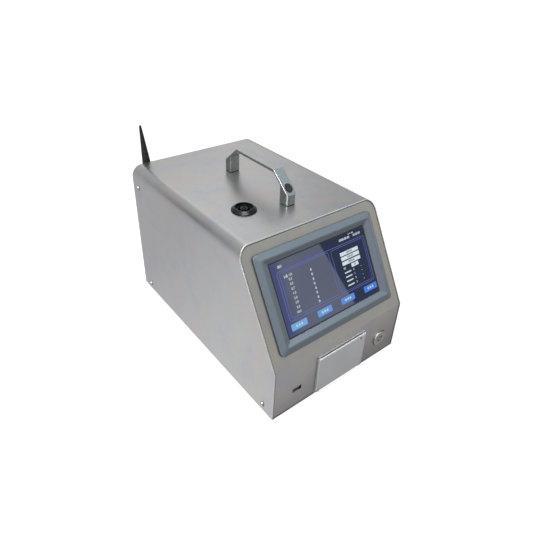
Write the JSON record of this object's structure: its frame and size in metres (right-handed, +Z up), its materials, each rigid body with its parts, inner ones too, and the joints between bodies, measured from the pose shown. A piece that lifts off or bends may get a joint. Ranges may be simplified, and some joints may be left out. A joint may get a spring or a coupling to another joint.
{
  "type": "airborne particle counter",
  "caption": "Bench-top airborne particle counter: folded steel case, sloping touch screen, flip-door slip printer, top inlet, carrying handle and aerial.",
  "frame": {"origin": "on the bench under the middle of the whole object", "axes": "+Z up, -Y out of the front with the screen, +X to the right seen from the front"},
  "size_m": [0.2236, 0.3596, 0.2701],
  "materials": {
    "cover_steel": "brushed stainless sheet",
    "panel_steel": "brushed stainless sheet",
    "tray_steel": "mill finish sheet",
    "screw_steel": "plated steel",
    "foot_rubber": "matt black rubber",
    "bezel_plastic": "satin blue-grey moulding",
    "gasket_rubber": "black foam rubber",
    "screen_glass": "glossy dark screen",
    "module_metal": "plated sheet",
    "dark_plastic": "dark moulding",
    "printer_plastic": "grey moulding",
    "door_plastic": "light grey moulding",
    "light_lens": "dark lens",
    "shaft_steel": "ground steel",
    "platen_rubber": "black rubber",
    "gear_plastic": "white moulding",
    "head_aluminium": "extruded",
    "roll_paper": "white paper",
    "button_steel": "turned stainless",
    "socket_metal": "plated shell",
    "handle_aluminium": "satin casting",
    "black_plastic": "black moulding",
    "inlet_black": "black anodised",
    "sensor_aluminium": "black anodised",
    "module_brass": "turned",
    "bracket_steel": "zinc plated sheet",
    "tube_plastic": "clear tube",
    "pump_plastic": "black moulding and motor can",
    "filter_plastic": "white capsule",
    "fitting_brass": "nickel plated",
    "board_green": "green board",
    "battery_wrap": "blue wrap",
    "guard_steel": "black painted sheet",
    "connector_brass": "gold plated",
    "aerial_rubber": "satin black rubber"
  },
  "bodies": {
    "case": {"outer_cover": "cover_steel", "front_panel": "panel_steel", "base_tray": "tray_steel", "back_panel": "tray_steel", "cover_screws": "screw_steel", "feet": "foot_rubber", "foot_screws": "screw_steel", "foot_nuts": "screw_steel", "screen_bezel": "bezel_plastic", "screen_gasket": "gasket_rubber", "touch_glass": "screen_glass", "display_module": "module_metal", "screen_housing": "dark_plastic", "screen_clamps": "module_metal", "printer_frame": "printer_plastic", "hinge_pin": "shaft_steel", "print_head": "head_aluminium", "paper_roll": "roll_paper", "power_button_body": "button_steel", "power_button_nut": "shaft_steel", "power_button_base": "dark_plastic", "usb_socket": "socket_metal", "handle": "handle_aluminium", "handle_plugs": "black_plastic", "handle_pads": "gasket_rubber", "handle_screws": "screw_steel", "inlet_flange": "inlet_black", "inlet_nozzle": "inlet_black", "inlet_nut": "screw_steel", "sensor_block": "sensor_aluminium", "laser_module": "module_brass", "photodetector": "dark_plastic", "sensor_bracket": "bracket_steel", "sample_tubes": "tube_plastic", "vacuum_pump": "pump_plastic", "pump_bracket": "bracket_steel", "exhaust_filter": "filter_plastic", "exhaust_fitting": "fitting_brass", "main_board": "board_green", "board_standoffs": "fitting_brass", "battery_pack": "battery_wrap", "battery_clamp": "bracket_steel", "power_supply": "module_metal", "fan_frame": "dark_plastic", "fan_guard": "guard_steel", "fan_screws": "screw_steel", "mains_inlet": "black_plastic", "network_port": "socket_metal", "aerial_connector": "connector_brass"},
    "door": {"printer_door": "door_plastic", "door_light": "light_lens"},
    "platen": {"platen_shaft": "shaft_steel", "platen_roller": "platen_rubber", "platen_gear": "gear_plastic"},
    "power_key": {"power_button_cap": "button_steel"},
    "fan_wheel": {"fan_rotor": "dark_plastic"},
    "aerial_base": {"aerial_elbow": "black_plastic", "aerial_pin": "shaft_steel"},
    "aerial": {"aerial_whip": "aerial_rubber"}
  },
  "joints": [
    {"name": "door_hinge", "type": "hinge", "parent": "case", "child": "door", "pos_m": [0, -0.1786, 0.01415], "axis": [1, 0, 0], "range_deg": [0, 90]},
    {"name": "platen_spin", "type": "hinge", "parent": "door", "child": "platen", "pos_m": [0, -0.17065, 0.061], "axis": [1, 0, 0], "continuous": true},
    {"name": "power_press", "type": "slide", "parent": "case", "child": "power_key", "axis": [0, 1, 0], "range_m": [0, 0.0015], "stiffness_N_per_m": 700},
    {"name": "fan_spin", "type": "hinge", "parent": "case", "child": "fan_wheel", "pos_m": [0.05, 0.15235, 0.136], "axis": [0, 1, 0], "continuous": true},
    {"name": "aerial_turn", "type": "hinge", "parent": "case", "child": "aerial_base", "pos_m": [-0.0792, 0.17335, 0.162], "axis": [0, 1, 0], "continuous": true},
    {"name": "aerial_tilt", "type": "hinge", "parent": "aerial_base", "child": "aerial", "pos_m": [-0.0792, 0.17335, 0.162], "axis": [-0.9979, 0, -0.0645], "range_deg": [0, 90]}
  ]
}
